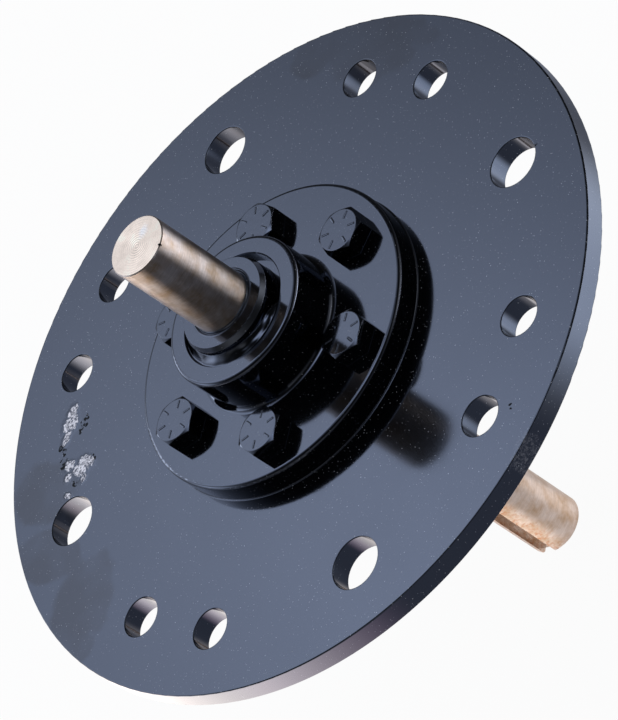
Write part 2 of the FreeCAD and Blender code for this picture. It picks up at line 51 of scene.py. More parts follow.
# The gloss is uneven in patches of this size, in millimetres, and this many times rougher at most.
HAZE_SIZE = 30.0
HAZE_ROUGHER = 1.5
# Nearly all of a noise lies between these two.
NOISE_LOW, NOISE_HIGH = 0.3, 0.7
# Dust, drawn coarser than it is so that it shows: how far apart its specks lie, the radii of the least and
# the largest, and how soft their edges are, in millimetres. Then the share of them too dark to show.
DUST = "#C4C6CC"
DUST_APART = 1.15
DUST_RADII = (0.088, 0.22)
DUST_BLUR = 0.0345
DUST_UNSEEN = 0.35
# How bright the brightest speck is on the disc, and on the other pieces.
PLATE_DUST = 0.65
PAINT_DUST = 0.25
# Each dull cloud: its centre and its radii along X and Y, in millimetres.
DULL_CLOUDS = ((-76.0, 111.0, 15.0, 20.0), (-104.0, 92.0, 12.0, 20.0), (-120.0, 60.0, 20.0, 18.0),
               (-139.0, 54.0, 8.0, 12.0), (143.0, 30.0, 9.0, 42.0), (133.0, 22.0, 14.0, 26.0),
               (131.0, 55.0, 10.0, 12.0))
CLOUD_DIMNESS = (0.80, 0.76, 0.72, 1.0)
# A cloud is thinnest where the haze is under the first value, and whole where it is over the second.
CLOUD_HAZE = (0.35, 0.6)
CLOUD_THINNEST = 0.35
# Each chip, and each speck of paint torn out beside them: its centre and radii, in millimetres.
CHIPS = ((-38.9, 114.1, 4.2, 3.0), (-44.3, 112.2, 5.0, 4.5), (-50.8, 111.0, 4.5, 2.3),
         (-60.2, 92.7, 3.5, 5.0), (-64.1, 94.4, 3.6, 4.8), (-62.9, 101.7, 2.8, 3.4),
         (-68.2, 99.9, 2.6, 1.9), (-67.4, 90.5, 2.6, 1.7), (-76.1, 95.2, 1.6, 2.2))
TORN = ((-43.7, 103.9, 5.5, 3.0), (-58.1, 90.0, 2.2, 3.0), (-58.5, 109.1, 4.0, 2.4),
        (-62.7, 105.2, 4.0, 2.4), (-70.4, 93.9, 1.8, 2.4), (-55.4, 111.6, 2.6, 2.0),
        (94.6, -94.8, 1.6, 1.6), (-16.0, -136.3, 1.6, 2.2))
# Where the rim is scuffed, and how pale it is there.
SCUFFS = ((-31.0, -149.0, 9.0, 4.0), (-37.0, -148.0, 5.0, 4.0))
SCUFF_PALENESS = 0.16
# The edge of each kind of mark: how ragged it is, the size of its lumps in millimetres, and how soft it is.
CLOUD_EDGE = (0.9, 14.0, 0.12)
CHIP_EDGE = (1.0, 3.0, 0.45)
TORN_EDGE = (0.8, 2.0, 0.3)
SCUFF_EDGE = (1.0, 3.0, 0.6)
# The size of the crumbs in a chip and in a torn speck, and the depth of a chip, in millimetres.
CHIP_CRUMB = 1.0
TORN_CRUMB = 1.5
CHIP_DEPTH = 0.12
# The values of the crumbs' noise at which each kind of mark starts and is whole.
CHIP_CRUMBS = (0.36, 0.48)
SHADE_CRUMBS = (0.40, 0.58)
TORN_CRUMBS = (0.50, 0.54)
SCUFF_CRUMBS = (0.45, 0.80)
# A chip shows pale mill scale with darker crumbs. It and torn paint have next to no gloss.
BARE_SCALE = "#F4F3FA"
BARE_SHADE = "#4A4A54"
BROKEN_GLOSS = (0.02, 0.02, 0.02, 1.0)
BROKEN_ROUGHNESS = (0.5, 0.5, 0.5, 1.0)


def linear(colour):
    """The linear colour of an sRGB hex value: c / 12.92 below 0.04045, else ((c + 0.055) / 1.055) ^ 2.4."""
    c = np.array([int(colour[i:i + 2], 16) for i in (1, 3, 5)]) / 255
    c = np.where(c < 0.04045, c / 12.92, ((c + 0.055) / 1.055) ** 2.4)
    return (*c.tolist(), 1.0)


def add(owner, kind, inputs=(), **settings):
    """Adds one node to a material or the world. inputs maps a socket to its value, or to a socket."""
    node = owner.node_tree.nodes.new("ShaderNode" + kind)
    for name, value in settings.items():
        setattr(node, name, value)
    for name, value in dict(inputs).items():
        if isinstance(value, bpy.types.NodeSocket):
            owner.node_tree.links.new(value, node.inputs[name])
        else:
            node.inputs[name].default_value = value
    return node


def new_material(name):
    """An empty node material."""
    material = bpy.data.materials.new(name)
    material.use_nodes = True
    material.node_tree.nodes.clear()
    return material


def coat(material, *nodes):
    """Puts a material on CAD nodes."""
    for name in nodes:
        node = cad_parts[name]
        node.data.materials.clear()
        node.data.materials.append(material)


def blot(material, place, spot, ragged, lumps, soft):
    """1 where the length of (point - centre) / radii, plus ragged times (noise - 1/2), is below 1, else 0."""
    x, y, rx, ry = spot
    off = add(material, "VectorMath", {0: place, 1: (x * MM, y * MM, 0)}, operation="SUBTRACT")
    flat = add(material, "VectorMath", {0: off.outputs[0], 1: (1 / rx / MM, 1 / ry / MM, 0)},
               operation="MULTIPLY")
    far = add(material, "VectorMath", {0: flat.outputs[0]}, operation="LENGTH")
    noise = add(material, "TexNoise", {"Vector": place, "Scale": 1 / lumps / MM, "Detail": 4.0})
    edge = add(material, "Math", {0: noise.outputs[0], 1: ragged, 2: far.outputs["Value"]},
               operation="MULTIPLY_ADD")
    middle = 1.0 + ragged / 2
    return add(material, "MapRange", {0: edge.outputs[0], 1: middle + soft, 2: middle - soft},
               interpolation_type="SMOOTHSTEP").outputs[0]


def most(material, masks):
    """The largest of several masks."""
    top = masks[0]
    for mask in masks[1:]:
        top = add(material, "Math", {0: top, 1: mask}, operation="MAXIMUM").outputs[0]
    return top


def dusty(material, place, dust):
    """The enamel's colour: black, and paler where a speck's middle is nearer than the speck's own radius."""
    specks = add(material, "TexVoronoi", {"Vector": place, "Scale": 1 / DUST_APART / MM})
    chance = add(material, "SeparateColor", {0: specks.outputs["Color"]})
    radius = add(material, "MapRange", {0: chance.outputs[1], 3: DUST_RADII[0] / DUST_APART,
                                        4: DUST_RADII[1] / DUST_APART})
    gap = add(material, "Math", {0: specks.outputs["Distance"], 1: radius.outputs[0]}, operation="SUBTRACT")
    inside = add(material, "MapRange", {0: gap.outputs[0], 1: DUST_BLUR / DUST_APART,
                                        2: -DUST_BLUR / DUST_APART})
    bright = add(material, "MapRange", {0: chance.outputs[0], 1: DUST_UNSEEN, 4: dust})
    speck = add(material, "Math", {0: inside.outputs[0], 1: bright.outputs[0]}, operation="MULTIPLY")
    return add(material, "MixRGB", {0: speck.outputs[0], 1: linear(ENAMEL_BLACK),
                                    2: linear(DUST)}).outputs[0]


def clouded(material, place, haze):
    """The tint of the gloss: times CLOUD_DIMNESS in a cloud, and less so where the haze makes it thin."""
    dull = most(material, [blot(material, place, cloud, *CLOUD_EDGE) for cloud in DULL_CLOUDS])
    thick = add(material, "MapRange", {0: haze, 1: CLOUD_HAZE[0], 2: CLOUD_HAZE[1], 3: CLOUD_THINNEST})
    dim = add(material, "Math", {0: dull, 1: thick.outputs[0]}, operation="MULTIPLY")
    tint = linear(ENAMEL_GLOSS_TINT)
    darker = tuple(c * d for c, d in zip(tint, CLOUD_DIMNESS))
    return add(material, "MixRGB", {0: dim.outputs[0], 1: tint, 2: darker}).outputs[0]


def broken(material, place, colour, tint, rough, bump):
    """Adds the chips, torn specks and scuffs: each is its blots times a noise of crumbs, cut off sharply."""
    crumbs = add(material, "TexNoise", {"Vector": place, "Scale": 1 / CHIP_CRUMB / MM, "Detail": 3.0,
                                        "Roughness": 0.7})
    gone = most(material, [blot(material, place, chip, *CHIP_EDGE) for chip in CHIPS])
    flaked = add(material, "Math", {0: gone, 1: crumbs.outputs[0]}, operation="MULTIPLY")
    bare = add(material, "MapRange", {0: flaked.outputs[0], 1: CHIP_CRUMBS[0], 2: CHIP_CRUMBS[1]})
    shades = add(material, "MapRange", {0: crumbs.outputs[0], 1: SHADE_CRUMBS[0], 2: SHADE_CRUMBS[1]})
    scale = add(material, "MixRGB", {0: shades.outputs[0], 1: linear(BARE_SHADE), 2: linear(BARE_SCALE)})
    colour = add(material, "MixRGB", {0: bare.outputs[0], 1: colour, 2: scale.outputs[0]}).outputs[0]
    rips = add(material, "TexNoise", {"Vector": place, "Scale": 1 / TORN_CRUMB / MM, "Detail": 2.0})
    torn = most(material, [blot(material, place, speck, *TORN_EDGE) for speck in TORN])
    torn = add(material, "Math", {0: torn, 1: rips.outputs[0]}, operation="MULTIPLY")
    hole = add(material, "MapRange", {0: torn.outputs[0], 1: TORN_CRUMBS[0], 2: TORN_CRUMBS[1]})
    scuffed = most(material, [blot(material, place, scuff, *SCUFF_EDGE) for scuff in SCUFFS])
    scuffed = add(material, "Math", {0: scuffed, 1: crumbs.outputs[0]}, operation="MULTIPLY")
    pale = add(material, "MapRange", {0: scuffed.outputs[0], 1: SCUFF_CRUMBS[0], 2: SCUFF_CRUMBS[1],
                                      4: SCUFF_PALENESS})
    colour = add(material, "MixRGB", {0: pale.outputs[0], 1: colour, 2: linear(BARE_SCALE)}).outputs[0]
    matt = add(material, "Math", {0: bare.outputs[0], 1: hole.outputs[0]}, operation="MAXIMUM").outputs[0]
    tint = add(material, "MixRGB", {0: matt, 1: tint, 2: BROKEN_GLOSS}).outputs[0]
    rough = add(material, "MixRGB", {0: matt, 1: rough, 2: BROKEN_ROUGHNESS}).outputs[0]
    bump = add(material, "Bump", {"Height": flaked.outputs[0], "Strength": 1.0, "Distance": CHIP_DEPTH * MM,
                                  "Normal": bump.outputs[0]})
    return colour, tint, rough, bump


def black_enamel(name, roughness, wave_height, wave_length, edge=ENAMEL_EDGE, dust=PAINT_DUST, worn=False):
    """Gloss black enamel, sprayed. The height and length of its ripple and its edge are in millimetres."""
    # The eye gets a deep black that mirrors the panels, slightly wavy, with dust in it and softened edges.
    material = new_material(name)
    place = add(material, "TexCoord").outputs["Object"]
    ripple = add(material, "TexNoise", {"Vector": place, "Scale": 1 / wave_length / MM, "Detail": 1.5})
    bump = add(material, "Bump", {"Height": ripple.outputs[0], "Strength": 1.0,
                                  "Distance": wave_height * MM})
    if edge:
        edges = add(material, "Bevel", {"Radius": edge * MM}, samples=8)
        material.node_tree.links.new(edges.outputs[0], bump.inputs["Normal"])
    colour = dusty(material, place, dust)
    haze = add(material, "TexNoise", {"Vector": place, "Scale": 1 / HAZE_SIZE / MM, "Detail": 5.0})
    haze = haze.outputs[0]
    rough = add(material, "MapRange", {0: haze, 1: NOISE_LOW, 2: NOISE_HIGH, 3: roughness,
                                       4: roughness * HAZE_ROUGHER}).outputs[0]
    tint = linear(ENAMEL_GLOSS_TINT)
    if worn:
        tint = clouded(material, place, haze)
        colour, tint, rough, bump = broken(material, place, colour, tint, rough, bump)
    shader = add(material, "BsdfPrincipled", {"Base Color": colour, "Roughness": rough, "IOR": ENAMEL_IOR,
                                             "Specular Tint": tint, "Normal": bump.outputs[0]})
    add(material, "OutputMaterial", {"Surface": shader.outputs[0]})
    return material


coat(black_enamel("gloss_enamel_on_plate", PLATE_ROUGHNESS, wave_height=0.004, wave_length=9.0,
                  dust=PLATE_DUST, worn=True), "drilled_disc")

# The hub. One iron casting, turned on its flange, boss and bores, and held to the disc by six bolts. It was
# painted with the disc. The paint is as glossy, but ripples more over the rougher metal.

ENAMEL_ROUGHNESS = 0.07
# The casting has its own roundings, so its enamel rounds no edge.
CASTING_ENAMEL = black_enamel("gloss_enamel_on_casting", ENAMEL_ROUGHNESS, wave_height=0.008,
                              wave_length=5.0, edge=0)
coat(CASTING_ENAMEL, "hub_casting")


def paint_on(name, points, material, body):
    """A closed ring of paint: points[i, j] is at step i round the ring and step j of its section."""
    around, section = points.shape[:2]
    i, j = np.meshgrid(np.arange(around), np.arange(section), indexing="ij")
    k, m = (i + 1) % around, (j + 1) % section
    corners = (i * section + j, k * section + j, k * section + m, i * section + m)
    faces = np.stack(corners, axis=-1).reshape(-1, 4)
    mesh = bpy.data.meshes.new(name)
    mesh.from_pydata((points.reshape(-1, 3) * MM).tolist(), [], faces.tolist())
    mesh.polygons.foreach_set("use_smooth", np.ones(len(faces), dtype=bool))
    mesh.materials.append(material)
    piece = bpy.data.objects.new(name, mesh)
    bpy.context.scene.collection.objects.link(piece)
    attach(piece, body)


def turned_ring(radius, height, steps=256):
    """Carries a section round the axis: the point at angle a is (r cos a, r sin a, z). In millimetres."""
    angle = np.linspace(0, 2 * np.pi, steps, endpoint=False)[:, None]
    radius, height = np.broadcast_arrays(radius, height)
    if radius.ndim == 1:
        radius, height = radius[None, :], height[None, :]
    return np.stack([radius * np.cos(angle), radius * np.sin(angle), height + 0 * angle], axis=-1)


# A thread of paint lies in the corner between the flange and the disc. Its width, and how far it reaches
# into the metal so that no gap shows, are in millimetres.
FLANGE_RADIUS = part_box("hub_casting")[1][0] / MM
DISC_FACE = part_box("drilled_disc")[1][2] / MM
THREAD_WIDTH = 0.5
PAINT_SUNK = 0.2


def corner_thread():
    """A hollow quarter circle: r = flange + width (1 - sin t), z = disc face + width (1 - cos t)."""
    t = np.linspace(0, np.pi / 2, 9)
    radius = np.append(FLANGE_RADIUS + THREAD_WIDTH * (1 - np.sin(t)), FLANGE_RADIUS - PAINT_SUNK)
    height = np.append(DISC_FACE + THREAD_WIDTH * (1 - np.cos(t)), DISC_FACE - PAINT_SUNK)
    return turned_ring(radius, height)


paint_on("paint_in_flange_corner", corner_thread(), CASTING_ENAMEL, "disc_and_hub")

# The bolts, nuts and lock washers. Forged and rolled steel, done up before the hub was painted, so that
# the enamel covers them and softens their edges and the grade marks.

FORGING_EDGE = 0.4
coat(black_enamel("gloss_enamel_on_forging", ENAMEL_ROUGHNESS, wave_height=0.01, wave_length=3.0,
                  edge=FORGING_EDGE), "hub_bolts", "hub_nuts", "hub_lock_washers")

# The bearings. Two taper roller bearings, pressed into the casting and slid on the shaft. Their cups, cones
# and rollers are hardened steel, ground bright. Their cages are pressed from sheet, and duller.

GROUND_STEEL = "#C8C7C2"
PRESSED_STEEL = "#A7A29A"
# How much the tool marks change a steel's roughness, and how deep they are, in millimetres.
SMOOTHER, ROUGHER = 0.8, 1.25
MARK_STRENGTH = 0.3
MARK_DEPTH = 0.01


def bare_steel(name, colour, roughness, across, along):
    """Bare steel with tool marks: across and along are the marks' sizes round and along the axis in mm."""
    # The eye gets a metal shine, finely lined where along is the smaller, and evenly grained where it isn't.
    material = new_material(name)
    place = add(material, "TexCoord").outputs["Object"]
    squeeze = add(material, "Mapping", {"Vector": place, "Scale": (1 / across / MM, 1 / across / MM,
                                                                   1 / along / MM)})
    marks = add(material, "TexNoise", {"Vector": squeeze.outputs[0], "Scale": 1.0, "Detail": 4.0})
    rough = add(material, "MapRange", {0: marks.outputs[0], 1: NOISE_LOW, 2: NOISE_HIGH,
                                       3: roughness * SMOOTHER, 4: roughness * ROUGHER})
    bump = add(material, "Bump", {"Height": marks.outputs[0], "Strength": MARK_STRENGTH,
                                  "Distance": MARK_DEPTH * MM})
    shader = add(material, "BsdfPrincipled", {"Base Color": linear(colour), "Metallic": 1.0,
                                             "Roughness": rough.outputs[0], "Normal": bump.outputs[0]})
    add(material, "OutputMaterial", {"Surface": shader.outputs[0]})
    return material


coat(bare_steel("ground_bearing_steel", GROUND_STEEL, roughness=0.15, across=8.0, along=0.4),
     *(f"{end}_bearing_{piece}" for end in ("front", "rear") for piece in ("cup", "cone", "rollers")))
coat(bare_steel("pressed_cage_steel", PRESSED_STEEL, roughness=0.35, across=3.0, along=3.0),
     "front_bearing_cage", "rear_bearing_cage")

# The spacer between the bearings and the wear sleeves of the seals. They are cut from steel tube, turned to
# length, oiled and slid on the shaft. The oil leaves them a darker, softer shine.

OILED_TUBE = "#8E8A84"
coat(bare_steel("oiled_steel_tube", OILED_TUBE, roughness=0.28, across=20.0, along=0.8),
     "bearing_spacer", "front_seal_sleeve", "rear_seal_sleeve")

# The seals, pressed into the ends of the hub. Each is a pressed steel case, painted over in the front recess
# in a thick uneven coat, a moulded nitrile rubber lip, and a garter spring of bright wire round the lip.

NITRILE = "#17181A"
SEAL_CASE_ROUGHNESS = 0.09
NITRILE_ROUGHNESS = 0.6
# The grain of the rubber's mould: its size, how strong it shows, and its depth, in millimetres.
MOULD_GRAIN = 0.3
MOULD_STRENGTH = 0.5
MOULD_DEPTH = 0.02

coat(black_enamel("gloss_enamel_on_seal_case", SEAL_CASE_ROUGHNESS, wave_height=0.03, wave_length=4.0),
     "front_seal_case", "rear_seal_case")


def nitrile_rubber():
    """Moulded rubber. The eye gets a matt black with a fine grain."""
    material = new_material("moulded_nitrile_rubber")
    place = add(material, "TexCoord").outputs["Object"]
    grain = add(material, "TexNoise", {"Vector": place, "Scale": 1 / MOULD_GRAIN / MM, "Detail": 3.0})
    bump = add(material, "Bump", {"Height": grain.outputs[0], "Strength": MOULD_STRENGTH,
                                  "Distance": MOULD_DEPTH * MM})
    shader = add(material, "BsdfPrincipled", {"Base Color": linear(NITRILE), "Roughness": NITRILE_ROUGHNESS,
                                             "Normal": bump.outputs[0]})
    add(material, "OutputMaterial", {"Surface": shader.outputs[0]})
    return material


coat(nitrile_rubber(), "front_seal_lip", "rear_seal_lip")
coat(bare_steel("drawn_spring_wire", GROUND_STEEL, roughness=0.2, across=1.0, along=1.0),
     "front_seal_spring", "rear_seal_spring")

# The shaft. Bright drawn steel bar, masked while the rest was painted. Its fine marks run round it, so a
# light on it spreads into a streak along it. It has gone a little brown in store.

BRIGHT_BAR = "#D6CBC4"
# The marks round the bar, drawn coarser than they are so that they show: how long and how wide, in
# millimetres, how much they shade the steel, and how rough they leave it.
BAR_MARK_LENGTH = 5.0
BAR_MARK_WIDTH = 0.5
BAR_SHADES = (0.82, 1.12)
BAR_ROUGHNESS = (0.29, 0.39)
# How far the marks draw a light out into a streak, and the turn that lays the streak along the bar.
BAR_STREAK = 0.8
QUARTER_TURN = 0.25
# The brown spots: their size in millimetres, where in their noise they start and are whole, and how brown.
BAR_TARNISH = "#A98B66"
TARNISH_SIZE = 7.0
TARNISH_NOISE = (0.38, 0.7)
TARNISH_SHARE = 0.75
# The rust along the keyway. It starts and is whole at these distances from the axis towards the keyway's
# side, which is at KEY_ANGLE degrees, and lies below RUST_TOP. In millimetres, as its grain.
KEY_RUST = "#B07A55"
KEY_ANGLE = -164.3
RUST_REACH = (9.0, 12.6)
RUST_TOP = -90.0
RUST_GRAIN = 1.5
RUST_NOISE = (0.45, 0.75)
# The ends, faced in a lathe: a normal this upright is an end's. The rings are drawn coarser than they are
# so that they show. They are RING_APART and get lower from the middle out to RING_REACH, in millimetres.
FACED_END = "#FFE8CF"
END_UPRIGHT = 0.9
END_SMOOTHNESS = 0.45
RING_APART = 1.1
RING_REACH = 9.0
RING_HEIGHTS = (0.4, 2.5)
# On the front end: a pale smear beside the middle, and a nick in the edge that reaches NICK_REACH down the
# side. Their centres and radii are in millimetres, and their edges are given as those of the chips are.
SMEAR = "#FFF6EA"
END_SMEAR = (6.4, -0.2, 2.4, 1.8)
SMEAR_EDGE = (1.6, 1.2, 0.8)
END_NICK = (1.2, -13.0, 0.5, 0.7)
NICK_EDGE = (0.4, 1.0, 0.1)
NICK_REACH = 1.025
SHAFT_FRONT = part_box("drive_shaft")[1][2] / MM


def rusted_keyway(material, place, height, colour):
    """Rust: a fine noise times how far a point lies towards the keyway's side, where z is below RUST_TOP."""
    side = (math.cos(math.radians(KEY_ANGLE)), math.sin(math.radians(KEY_ANGLE)), 0)
    key = add(material, "VectorMath", {0: place, 1: side}, operation="DOT_PRODUCT")
    near_key = add(material, "MapRange", {0: key.outputs["Value"], 1: RUST_REACH[0] * MM,
                                          2: RUST_REACH[1] * MM})
    behind = add(material, "Math", {0: height, 1: RUST_TOP * MM}, operation="LESS_THAN")
    fine = add(material, "TexNoise", {"Vector": place, "Scale": 1 / RUST_GRAIN / MM, "Detail": 4.0})
    rusty = add(material, "MapRange", {0: fine.outputs[0], 1: RUST_NOISE[0], 2: RUST_NOISE[1],
                                       4: near_key.outputs[0]})
    rusty = add(material, "Math", {0: rusty.outputs[0], 1: behind.outputs[0]}, operation="MULTIPLY")
    return add(material, "MixRGB", {0: rusty.outputs[0], 1: colour, 2: linear(KEY_RUST)}).outputs[0]


def marked_end(material, place, height, is_end, colour):
    """The faced end's colour, with the smear and the nick as blots, within NICK_REACH of the front."""
    colour = add(material, "MixRGB", {0: is_end, 1: colour, 2: linear(FACED_END)}).outputs[0]
    front = add(material, "Math", {0: height, 1: (SHAFT_FRONT - NICK_REACH) * MM}, operation="GREATER_THAN")
    for spot, edge, marked in ((END_SMEAR, SMEAR_EDGE, SMEAR), (END_NICK, NICK_EDGE, ENAMEL_BLACK)):
        mark = add(material, "Math", {0: blot(material, place, spot, *edge), 1: front.outputs[0]},
                   operation="MULTIPLY")
        colour = add(material, "MixRGB", {0: mark.outputs[0], 1: colour, 2: linear(marked)}).outputs[0]
    return colour


def facing_rings(material, place):
    """The relief of the rings: sin(2 pi r / RING_APART), times a height that shrinks from the middle out."""
    flat = add(material, "VectorMath", {0: place, 1: (1, 1, 0)}, operation="MULTIPLY")
    out = add(material, "VectorMath", {0: flat.outputs[0]}, operation="LENGTH")
    turns = add(material, "Math", {0: out.outputs["Value"], 1: 2 * math.pi / RING_APART / MM},
                operation="MULTIPLY")
    wave = add(material, "Math", {0: turns.outputs[0]}, operation="SINE")
    near = add(material, "MapRange", {0: out.outputs["Value"], 1: RING_REACH * MM, 2: 0.0,
                                      3: RING_HEIGHTS[0], 4: RING_HEIGHTS[1]})
    return add(material, "Math", {0: wave.outputs[0], 1: near.outputs[0]}, operation="MULTIPLY").outputs[0]


def bright_bar():
    """Drawn bar: metal with marks round it, tarnish in soft spots, and ends faced in a lathe."""
    # The eye gets a warm, satin metal with one long streak of light along it, and a paler end with rings.
    material = new_material("bright_drawn_bar")
    place = add(material, "TexCoord").outputs["Object"]
    height = add(material, "SeparateXYZ", {0: place}).outputs[2]
    squeeze = add(material, "Mapping", {"Vector": place, "Scale": (1 / BAR_MARK_LENGTH / MM,
                                                                   1 / BAR_MARK_LENGTH / MM,
                                                                   1 / BAR_MARK_WIDTH / MM)})
    marks = add(material, "TexNoise", {"Vector": squeeze.outputs[0], "Scale": 1.0, "Detail": 5.0,
                                       "Roughness": 0.65})
    spots = add(material, "TexNoise", {"Vector": place, "Scale": 1 / TARNISH_SIZE / MM, "Detail": 5.0,
                                       "Roughness": 0.6})
    brown = add(material, "MapRange", {0: spots.outputs[0], 1: TARNISH_NOISE[0], 2: TARNISH_NOISE[1],
                                       4: TARNISH_SHARE})
    colour = add(material, "MixRGB", {0: brown.outputs[0], 1: linear(BRIGHT_BAR), 2: linear(BAR_TARNISH)})
    colour = rusted_keyway(material, place, height, colour.outputs[0])
    normal = add(material, "SeparateXYZ", {0: add(material, "NewGeometry").outputs["Normal"]})
    up = add(material, "Math", {0: normal.outputs[2]}, operation="ABSOLUTE")
    is_end = add(material, "Math", {0: up.outputs[0], 1: END_UPRIGHT}, operation="GREATER_THAN").outputs[0]
    colour = marked_end(material, place, height, is_end, colour)
    shade = add(material, "MapRange", {0: marks.outputs[0], 1: NOISE_LOW, 2: NOISE_HIGH, 3: BAR_SHADES[0],
                                       4: BAR_SHADES[1]})
    colour = add(material, "VectorMath", {0: colour, 1: shade.outputs[0]}, operation="MULTIPLY")
    rough = add(material, "MapRange", {0: marks.outputs[0], 1: NOISE_LOW, 2: NOISE_HIGH,
                                       3: BAR_ROUGHNESS[0], 4: BAR_ROUGHNESS[1]})
    smoother = add(material, "MapRange", {0: is_end, 3: 1.0, 4: END_SMOOTHNESS})
    rough = add(material, "Math", {0: rough.outputs[0], 1: smoother.outputs[0]}, operation="MULTIPLY")
    relief = add(material, "Mix", {0: is_end, 2: marks.outputs[0], 3: facing_rings(material, place)})
    bump = add(material, "Bump", {"Height": relief.outputs[0], "Strength": MARK_STRENGTH,
                                  "Distance": MARK_DEPTH * MM})
    round_it = add(material, "VectorMath", {0: (0, 0, 1), 1: place}, operation="CROSS_PRODUCT")
    tangent = add(material, "VectorMath", {0: round_it.outputs[0]}, operation="NORMALIZE")
    shader = add(material, "BsdfPrincipled", {"Base Color": colour.outputs[0], "Metallic": 1.0,
                                             "Roughness": rough.outputs[0], "Anisotropic": BAR_STREAK,
                                             "Anisotropic Rotation": QUARTER_TURN,
                                             "Tangent": tangent.outputs[0], "Normal": bump.outputs[0]})
    add(material, "OutputMaterial", {"Surface": shader.outputs[0]})
    return material


coat(bright_bar(), "drive_shaft")

# The collars and the rear collar's set screws. Steel rings, turned, slid on the shaft against the hub and
# painted over with it. The screws hold the rear one and are black oxide, a dark satin.

BLACK_OXIDE = "#2B2A29"
COLLAR_ENAMEL = black_enamel("gloss_enamel_on_collar", ENAMEL_ROUGHNESS, wave_height=0.008, wave_length=4.0)
coat(COLLAR_ENAMEL, "front_collar", "rear_collar")
coat(bare_steel("black_oxide_screw", BLACK_OXIDE, roughness=0.4, across=2.0, along=2.0),
     "rear_collar_screws")

# The ridge of paint round the shaft, where the masking ended. It is enamel, set as it climbed the masked bar
# in front of the collar, with a groove and a low lip round it. It turns with the shaft.

SHAFT_RADIUS = max(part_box("drive_shaft")[1][:2]) / MM
COLLAR_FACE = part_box("front_collar")[1][2] / MM
RIDGE_RADIUS = 15.6
# How high the paint climbs the shaft and how wide that is, then the radius, width and height of the groove
# and the lip, and the thickness of the film, which ends in the collar at FILM_RADIUS. In millimetres.
CLIMB_HEIGHT, CLIMB_WIDTH = 0.6, 0.14
GROOVE = (14.05, 0.3, -0.5)
LIP = (14.9, 0.2, 0.14)
FILM = 0.01
FILM_RADIUS = 15.5
# How far the ridge reaches into the shaft and down beside it.
GRIP = 0.02
ROOT = 1.5


def hump(place, middle, width):
    """A round hump, one high: exp(-((place - middle) / width) ^ 2)."""
    return np.exp(-((place - middle) / width) ** 2)


def masking_ridge():
    """z = face + film + climb exp((shaft - r) / width) + groove + lip, both a height times a hump."""
    out = np.linspace(SHAFT_RADIUS - GRIP, RIDGE_RADIUS, 28)
    top = COLLAR_FACE + CLIMB_HEIGHT * np.exp((SHAFT_RADIUS - out) / CLIMB_WIDTH)
    top = top + sum(high * hump(out, middle, width) for middle, width, high in (GROOVE, LIP))
    top = top + np.where(out > FILM_RADIUS, -FILM, FILM)
    radius = np.append(out, (RIDGE_RADIUS, SHAFT_RADIUS - GRIP))
    height = np.append(top, (COLLAR_FACE - PAINT_SUNK, COLLAR_FACE - ROOT))
    return turned_ring(radius, height)


paint_on("paint_ridge_round_shaft", masking_ridge(), COLLAR_ENAMEL, "shaft")

# The pool of paint in the recess between the collar and the boss. It is enamel that ran in and set in folds,
# deepest on the side that hung lowest while it dried. It is clear of the collar, which turns.

COLLAR_CLEARANCE = 0.05
COLLAR_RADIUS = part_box("front_collar")[1][0] / MM + COLLAR_CLEARANCE
BORE_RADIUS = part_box("front_seal_case")[1][0] / MM
SEAL_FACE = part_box("front_seal_case")[1][2] / MM
# Where the pool starts and ends round the recess, how far it goes on past that and over how much it runs
# out, in degrees. Then its depth, that of the film all round and how far both reach into boss and seal.
POOL_FROM, POOL_TO = 116.0, 285.0
POOL_SPILL = 10.0
POOL_TAPER = 30.0
POOL_DEPTH = 2.5
POOL_FILM = 0.15
POOL_SUNK = 0.1
# The bank up the collar: its height, how steeply it falls, how much lower it gets, and from where and over
# how many degrees. Then how high the paint climbs the boss, and over what share of the recess.
BANK_HEIGHT = 3.4
BANK_POWER = 1.7
BANK_DROP = 1.6
BANK_DROP_FROM, BANK_DROP_OVER = 225.0, 40.0
BOSS_CLIMB, BOSS_CLIMB_SHARE = 0.35, 0.06
# Each fold: where it is round the recess in degrees, where across it, its two sizes and its height.
FOLDS = ((214, 0.55, 7, 0.22, 0.30), (226, 0.35, 5, 0.16, -0.35), (238, 0.60, 6, 0.20, 0.32),
         (249, 0.30, 5, 0.22, -0.25), (258, 0.70, 7, 0.16, -0.45), (200, 0.25, 9, 0.20, 0.12),
         (268, 0.30, 8, 0.16, 0.30))
# Each ripple: its height, how many there are round the recess, and how far it leans across, in radians.
RIPPLES = ((0.03, 23, 5), (0.05, 9, -3))


